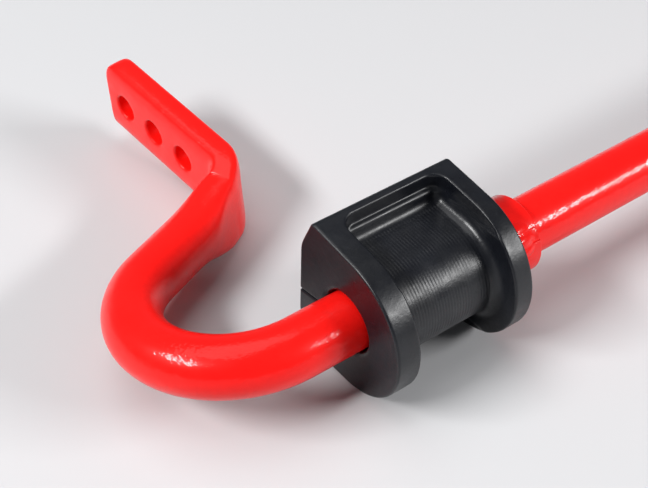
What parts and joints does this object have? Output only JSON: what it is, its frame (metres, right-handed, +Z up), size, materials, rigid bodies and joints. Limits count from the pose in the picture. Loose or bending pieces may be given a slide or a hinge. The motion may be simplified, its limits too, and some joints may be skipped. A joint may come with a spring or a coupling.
{
  "type": "sway bar",
  "caption": "Sway bar: a round torsion bar whose ends hook back into flattened, drilled end plates, with a D-shaped bushing and a welded lateral lock at each side.",
  "frame": {"origin": "bottom centre of the bounding box, on the bench the bar rests on", "axes": "+X along the torsion section from the left end to the right end, +Y from the torsion section towards the end plates, +Z up as the bar lies on a bench"},
  "size_m": [0.9358, 0.2064, 0.0612],
  "materials": {
    "red_paint": "gloss red powder coat with slight orange peel",
    "black_urethane": "satin black moulded polyurethane with a fine texture"
  },
  "bodies": {
    "bar": {"sway_bar": "red_paint", "left_lock_ring": "red_paint", "left_lock_weld": "red_paint", "right_lock_ring": "red_paint", "right_lock_weld": "red_paint"},
    "left_bushing_body": {"left_bushing": "black_urethane"},
    "right_bushing_body": {"right_bushing": "black_urethane"}
  },
  "joints": [
    {"name": "left_bushing_turn", "type": "hinge", "parent": "bar", "child": "left_bushing_body", "pos_m": [-0.3703, -0.07445, 0.02966], "axis": [1, 0, 0], "continuous": true},
    {"name": "right_bushing_turn", "type": "hinge", "parent": "bar", "child": "right_bushing_body", "pos_m": [0.3703, -0.07445, 0.02966], "axis": [1, 0, 0], "continuous": true}
  ]
}
